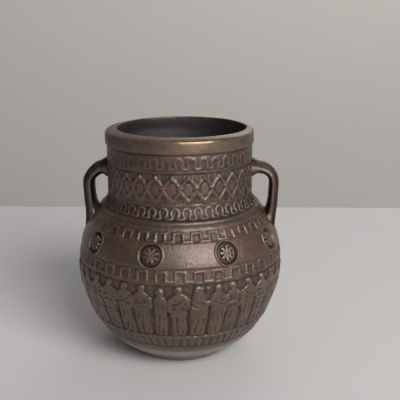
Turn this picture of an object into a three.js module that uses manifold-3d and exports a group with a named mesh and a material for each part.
// A small cast bronze vase shaped like an amphora, in millimetres, +Z up.
// A hollow belly stands on a narrow foot ring. A neck collar sits in the belly's mouth, and a turned ring
// makes the lip. A plate closes the core hole underneath. Two strap handles run from neck to shoulder, each
// held by two rivets, and eight rosette bosses sit in sockets round the shoulder band.
// The front faces -Y and the handles lie on the X axis.

import * as THREE from "three";
import { mergeVertices } from "three/addons/utils/BufferGeometryUtils.js";
import Module from "manifold-3d";

// Fits
const fitGap = 0.3; // left between pieces that would be brazed or pressed together
const overcut = 1; // how far a cutting tool runs past the surface that it cuts

// Belly: outline points as [radius, height], from the foot up to the shoulder's top
const footRadius = 22.4;
const bellyOutline = [
  [footRadius, 0],
  [27.6, 3.8],
  [35.6, 10.5],
  [43.4, 21.4],
  [48.4, 34.3],
  [49.7, 45.2],
  [48.3, 55.2],
  [46.3, 61],
  [43.4, 66.2],
  [40.2, 70.9],
];
const bellyWall = 3.4;
const coreHoleRadius = 17; // left by the sand core, and closed by the base plate

// Neck
const neckSeatHeight = 72.6; // where the collar rests on the belly's mouth
const neckRadius = 34.6;
const neckWall = 3.3;
const neckFlareTop = 80.2; // above this height the collar is a plain tube
const neckBead = 3.9; // how far the collar's foot bead stands out past the tube
const neckBeadHeight = 1.5;
const spigotDepth = 3;
const spigotWall = 2;

// Lip ring
const vaseHeight = 110;
const lipHeight = 7.3;
const lipProud = 0.5; // past the neck's tube
const lipRound = 1.5;
const lipSpigotWall = 1.6;

// Base plate
const plateRadius = 18.9;
const plateThickness = 1.6;
const plateLift = 0.4; // the plate stays clear of the table
const plugHeight = 2;

// Handles, as a side outline in the XZ plane
const strapWidth = 10;
const strapReach = 47.3; // outer face at the elbow, from the vase's axis
const strapLean = 1.1; // how far the upright's foot stands in from the elbow
const strapThickness = 4.4;
const armTop = 93.2;
const armThickness = 5.2;
const elbowRound = 8.6;
const gripRound = 3.8;
const rootFlare = 1; // how much the arm widens, above and below, where it meets the neck
const arrisRound = 0.9;

// Rivets
const rootRivetRadius = 1.1;
const rootRivetBite = 3; // length inside the handle
const footRivetRadius = 0.9;
const footRivetBite = 1.2;
const rivetHeadOverhang = 1;
const rivetHeadHeight = 1;
const rivetHeadCrown = 0.7; // share of the head's radius that is flat on top

// Rosette bosses
const rosetteAngles = [-54.5, -14, 28.5, 65]; // on each face, in degrees from its middle
const rosetteHeight = 60.9;
const rosetteRadius = 4.9;
const rosetteDepth = 1.5; // below the skin
const rosetteProud = 0.6; // above the skin
const rosetteRim = 0.6; // width of the raised edge
const rosetteDish = 0.3; // of the field round the flower, below the skin
const flowerRadius = 3.6;
const flowerEye = 2.2; // radius where the flower's dome begins
const flowerDome = 0.3; // height of the dome above the raised edge

// Fineness of round shapes
const vaseSides = 48;
const smallSides = 16;
const outlineSteps = 18; // of the belly's outline
const hollowSteps = 12; // of the hollow's

const bronze = new THREE.MeshStandardMaterial({ color: 0x5a4632, roughness: 0.45, metalness: 0.9 });
const wornBronze = new THREE.MeshStandardMaterial({ color: 0x8a7450, roughness: 0.35, metalness: 0.95 });
const darkBronze = new THREE.MeshStandardMaterial({ color: 0x3a3029, roughness: 0.6, metalness: 0.8 });

const wasm = await Module();
wasm.setup();

// A closed geometry as a solid that can be joined and cut.
function solidOf(geometry) {
  const bare = new THREE.BufferGeometry().setAttribute(
    "position",
    (geometry.index ? geometry.toNonIndexed() : geometry).getAttribute("position"),
  );
  const merged = mergeVertices(bare, 1e-4);
  const corners = [];
  for (let i = 0; i < merged.index.count; i += 3) {
    const [a, b, c] = [0, 1, 2].map((k) => merged.index.getX(i + k));
    if (a !== b && b !== c && c !== a) corners.push(a, b, c);
  }
  return new wasm.Manifold(
    new wasm.Mesh({
      numProp: 3,
      vertProperties: merged.attributes.position.array,
      triVerts: new Uint32Array(corners),
    }),
  );
}

function geometryOf(solid) {
  const { vertProperties, triVerts } = solid.getMesh();
  const made = new THREE.BufferGeometry()
    .setAttribute("position", new THREE.BufferAttribute(new Float32Array(vertProperties), 3))
    .setIndex(new THREE.BufferAttribute(new Uint32Array(triVerts), 1));
  made.computeVertexNormals();
  return made;
}

// Turns an outline of [radius, height] points round the Z axis. It runs up the outside.
function revolve(points, sides) {
  const turned = points.map(([r, z]) => new THREE.Vector2(r, z));
  return new THREE.LatheGeometry(turned, sides).rotateX(Math.PI / 2);
}

// A ring's outline closes on itself.
function ring(points, sides = vaseSides) {
  return revolve([...points, points[0]], sides);
}

// A rod round the Z axis, from one height to another.
function rod(radius, from, to, sides = smallSides) {
  return revolve([[0, from], [radius, from], [radius, to], [0, to]], sides);
}

// The point at an angle from the front towards +X.
function around(degrees, radius, height) {
  const a = THREE.MathUtils.degToRad(degrees);
  return new THREE.Vector3(radius * Math.sin(a), -radius * Math.cos(a), height);
}

// The belly's outline as a smooth curve, and its radius and outward slope at a height.
const bellyCurve = new THREE.SplineCurve(bellyOutline.map(([r, z]) => new THREE.Vector2(r, z)));
const bellyPoints = bellyCurve.getPoints(outlineSteps);

function bellyAt(height) {
  const above = bellyPoints.findIndex((p) => p.y > height);
  const [low, high] = [bellyPoints[above - 1], bellyPoints[above]];
  const share = (height - low.y) / (high.y - low.y);
  return {
    radius: low.x + (high.x - low.x) * share,
    tilt: Math.atan2(low.x - high.x, high.y - low.y), // of the outward normal above the horizon
  };
}

function bellyHeightAt(radius) {
  const widest = bellyPoints.reduce((best, p) => (p.x > best.x ? p : best));
  const upper = bellyPoints.filter((p) => p.y >= widest.y);
  const past = upper.findIndex((p) => p.x < radius);
  const [low, high] = [upper[past - 1], upper[past]];
  return low.y + ((high.y - low.y) * (low.x - radius)) / (low.x - high.x);
}

// The same outline moved along its normals: inwards for the hollow, outwards for the handles' clearance.
function movedBelly(distance, steps) {
  return Array.from({ length: steps + 1 }, (_, i) => {
    const point = bellyCurve.getPoint(i / steps);
    const along = bellyCurve.getTangent(i / steps);
    return [point.x + along.y * distance, point.y - along.x * distance];
  });
}

// A frame on the vase's skin whose +Z points along the outward normal.
function seat(degrees, radius, height, tilt) {
  const a = THREE.MathUtils.degToRad(degrees);
  const out = new THREE.Vector3(
    Math.cos(tilt) * Math.sin(a),
    -Math.cos(tilt) * Math.cos(a),
    Math.sin(tilt),
  );
  const side = new THREE.Vector3(Math.cos(a), Math.sin(a), 0);
  return new THREE.Matrix4()
    .makeBasis(side, out.clone().cross(side), out)
    .setPosition(around(degrees, radius, height));
}

// Sizes that follow from those above
const boreRadius = neckRadius - neckWall;
const lipSeatHeight = vaseHeight - lipHeight;
const lipRadius = neckRadius + lipProud;
const mouthRadius = boreRadius + spigotWall + fitGap; // the belly's mouth, round the collar's spigot
const plateSeatHeight = plateLift + plateThickness;
const strapFootReach = strapReach - strapLean;
const footMiddle = strapFootReach - strapThickness / 2;
const armBottom = armTop - armThickness;
const armMiddle = armTop - armThickness / 2;

const rosetteBelly = bellyAt(rosetteHeight);
const rosetteSeats = [...rosetteAngles, ...rosetteAngles.map((angle) => angle + 180)].map((angle) =>
  seat(angle, rosetteBelly.radius, rosetteHeight, rosetteBelly.tilt),
);

const footHeight = bellyHeightAt(footMiddle);
const footTilt = bellyAt(footHeight).tilt;
const strapBlankEnd = footHeight - 3 * strapThickness; // the strap is cut to the belly from this length
const envelopeFrom = strapBlankEnd - strapThickness;
const sides = { right: 90, left: -90 };

function rootSeat(degrees) {
  return seat(degrees, neckRadius, armMiddle, 0);
}

function footSeat(degrees) {
  return seat(degrees, footMiddle, footHeight, footTilt);
}

// Holes for the rivets, through a wall and into the handle
function rivetHole(frame, radius, wall, bite) {
  return rod(radius + fitGap, -wall - overcut, bite + fitGap).applyMatrix4(frame);
}

function rootHole(degrees) {
  return rivetHole(rootSeat(degrees), rootRivetRadius, neckWall, rootRivetBite);
}

function footHole(degrees) {
  return rivetHole(footSeat(degrees), footRivetRadius, bellyWall, footRivetBite);
}

function cutAll(solid, tools) {
  return tools.reduce((left, tool) => left.subtract(solidOf(tool)), solid);
}

// The cast belly: a shell with a mouth above and a core hole below.
function bellyShell() {
  const top = bellyPoints.at(-1);
  const floorHeight = plateSeatHeight + bellyWall;
  const ceilingHeight = neckSeatHeight - spigotDepth - bellyWall;
  const hollow = movedBelly(-bellyWall, hollowSteps)
    .filter(([r, z]) => r > coreHoleRadius && z > floorHeight && z < ceilingHeight)
    .reverse();
  const shell = ring([
    ...bellyPoints.map((p) => [p.x, p.y]),
    [top.x - (neckSeatHeight - top.y), neckSeatHeight],
    [mouthRadius, neckSeatHeight],
    [mouthRadius, neckSeatHeight - spigotDepth - fitGap],
    ...hollow,
    [coreHoleRadius, floorHeight],
    [coreHoleRadius, plateSeatHeight],
    [plateRadius + fitGap, plateSeatHeight],
    [plateRadius + fitGap, 0],
  ]);
  const socket = rod(rosetteRadius + fitGap, -rosetteDepth - fitGap, overcut);
  const sockets = rosetteSeats.map((frame) => socket.clone().applyMatrix4(frame));
  return cutAll(solidOf(shell), [...sockets, footHole(sides.right), footHole(sides.left)]);
}

// The neck's foot from its seat upwards: a rounded bead, then a flare that fades into the tube.
function neckFoot() {
  const beadRadius = neckRadius + neckBead;
  const beadTop = neckSeatHeight + neckBeadHeight;
  const flare = new THREE.QuadraticBezierCurve(
    new THREE.Vector2(beadRadius - neckBeadHeight / 2, beadTop),
    new THREE.Vector2(neckRadius, beadTop + neckBeadHeight),
    new THREE.Vector2(neckRadius, neckFlareTop),
  );
  return [
    [beadRadius - neckBeadHeight / 3, neckSeatHeight],
    [beadRadius, neckSeatHeight + neckBeadHeight / 2],
    ...flare.getPoints(6).map((p) => [p.x, p.y]),
  ];
}

// The neck collar: a tube on its flared foot, with a spigot below and a rebate above.
function neckCollar() {
  const collar = ring([
    ...neckFoot(),
    [neckRadius, lipSeatHeight],
    [boreRadius + lipSpigotWall + fitGap, lipSeatHeight],
    [boreRadius + lipSpigotWall + fitGap, lipSeatHeight - spigotDepth - fitGap],
    [boreRadius, lipSeatHeight - spigotDepth - fitGap],
    [boreRadius, neckSeatHeight - spigotDepth],
    [boreRadius + spigotWall, neckSeatHeight - spigotDepth],
    [boreRadius + spigotWall, neckSeatHeight],
  ]);
  return cutAll(solidOf(collar), [rootHole(sides.right), rootHole(sides.left)]);
}

// The turned lip: a heavy ring with rounded edges, and a spigot that drops into the collar.
function lipRing() {
  const [centreRadius, centreHeight] = [lipRadius - lipRound, vaseHeight - lipRound];
  const outerEdge = new THREE.EllipseCurve(centreRadius, centreHeight, lipRound, lipRound, 0, Math.PI / 2);
  const innerRound = lipRound / 2;
  return solidOf(
    ring([
      [neckRadius, lipSeatHeight],
      [lipRadius, lipSeatHeight + lipProud],
      ...outerEdge.getPoints(4).map((p) => [p.x, p.y]),
      [boreRadius + innerRound, vaseHeight],
      [boreRadius, vaseHeight - innerRound],
      [boreRadius, lipSeatHeight - spigotDepth],
      [boreRadius + lipSpigotWall, lipSeatHeight - spigotDepth],
      [boreRadius + lipSpigotWall, lipSeatHeight],
    ]),
  );
}

// The base plate: a disc in the foot's rebate, with a plug that fills the core hole.
function basePlate() {
  const plugRadius = coreHoleRadius - fitGap;
  return solidOf(
    revolve(
      [
        [0, plateLift],
        [plateRadius, plateLift],
        [plateRadius, plateSeatHeight],
        [plugRadius, plateSeatHeight],
        [plugRadius, plateSeatHeight + plugHeight],
        [0, plateSeatHeight + plugHeight],
      ],
      vaseSides,
    ),
  );
}

// The space that the neck and belly take, with the gap that the handles keep to them.
function vaseEnvelope() {
  const belly = movedBelly(fitGap, outlineSteps).filter(([, z]) => z > envelopeFrom);
  const foot = neckFoot().map(([r, z]) => [r + fitGap, z + fitGap]);
  return revolve(
    [[0, belly[0][1]], ...belly, ...foot, [neckRadius + fitGap, vaseHeight], [0, vaseHeight]],
    vaseSides,
  );
}

// A strap handle on the +X side: an arm out of the neck, an elbow, and an upright down to the shoulder.
function strapHandle() {
  const inside = neckRadius - 2 * arrisRound - overcut;
  const rootFace = neckRadius + fitGap;
  const flareEnd = rootFace + 2 * rootFlare;
  const grip = strapReach - strapThickness;
  const outline = new THREE.Shape();
  outline.moveTo(inside, armTop + rootFlare);
  outline.lineTo(rootFace, armTop + rootFlare);
  outline.quadraticCurveTo(rootFace, armTop, flareEnd, armTop);
  outline.absarc(strapReach - elbowRound, armTop - elbowRound, elbowRound, Math.PI / 2, 0, true);
  outline.lineTo(strapFootReach, footHeight);
  outline.lineTo(strapFootReach, strapBlankEnd);
  outline.lineTo(strapFootReach - strapThickness, strapBlankEnd);
  outline.lineTo(strapFootReach - strapThickness, footHeight);
  outline.absarc(grip - gripRound, armBottom - gripRound, gripRound, 0, Math.PI / 2, false);
  outline.lineTo(flareEnd, armBottom);
  outline.quadraticCurveTo(rootFace, armBottom, rootFace, armBottom - rootFlare);
  outline.lineTo(inside, armBottom - rootFlare);
  const strap = new THREE.ExtrudeGeometry(outline, {
    depth: strapWidth - 2 * arrisRound,
    bevelThickness: arrisRound,
    bevelSize: arrisRound,
    bevelOffset: -arrisRound,
    bevelSegments: 2,
    curveSegments: 6,
  })
    .translate(0, 0, arrisRound - strapWidth / 2)
    .rotateX(Math.PI / 2);
  return cutAll(solidOf(strap), [vaseEnvelope(), rootHole(sides.right), footHole(sides.right)]);
}

// A rivet along +Z: its head lies inside the wall, and its shank ends inside the handle.
function rivet(radius, wall, bite) {
  const headRadius = radius + rivetHeadOverhang;
  const under = -wall - fitGap;
  return solidOf(
    revolve(
      [
        [0, under - rivetHeadHeight],
        [headRadius * rivetHeadCrown, under - rivetHeadHeight],
        [headRadius, under - rivetHeadHeight / 2],
        [headRadius, under],
        [radius, under],
        [radius, bite],
        [0, bite],
      ],
      smallSides,
    ),
  );
}

// A rosette boss along +Z: a dished disc with a raised edge and a domed flower.
function rosette() {
  return solidOf(
    revolve(
      [
        [0, -rosetteDepth],
        [rosetteRadius, -rosetteDepth],
        [rosetteRadius, rosetteProud],
        [rosetteRadius - rosetteRim, rosetteProud],
        [rosetteRadius - rosetteRim, -rosetteDish],
        [flowerRadius, -rosetteDish],
        [flowerEye, rosetteProud],
        [0, rosetteProud + flowerDome],
      ],
      smallSides,
    ),
  );
}

function piece(name, solid, material, frame = new THREE.Matrix4()) {
  const mesh = new THREE.Mesh(geometryOf(solid), material.clone());
  mesh.name = name;
  mesh.applyMatrix4(frame);
  return mesh;
}

const vase = new THREE.Group();
vase.add(piece("belly_shell", bellyShell(), bronze));
vase.add(piece("neck_collar", neckCollar(), bronze));
vase.add(piece("lip_ring", lipRing(), wornBronze));
vase.add(piece("base_plate", basePlate(), darkBronze));

const handle = strapHandle();
const rootRivet = rivet(rootRivetRadius, neckWall, rootRivetBite);
const footRivet = rivet(footRivetRadius, bellyWall, footRivetBite);
for (const [side, degrees] of Object.entries(sides)) {
  const turn = new THREE.Matrix4().makeRotationZ(THREE.MathUtils.degToRad(degrees - sides.right));
  vase.add(piece(`handle_${side}`, handle, bronze, turn));
  vase.add(piece(`root_rivet_${side}`, rootRivet, darkBronze, rootSeat(degrees)));
  vase.add(piece(`foot_rivet_${side}`, footRivet, darkBronze, footSeat(degrees)));
}

const boss = rosette();
rosetteSeats.forEach((frame, i) => {
  vase.add(piece(`rosette_${i + 1}`, boss, bronze, frame));
});

export default vase;
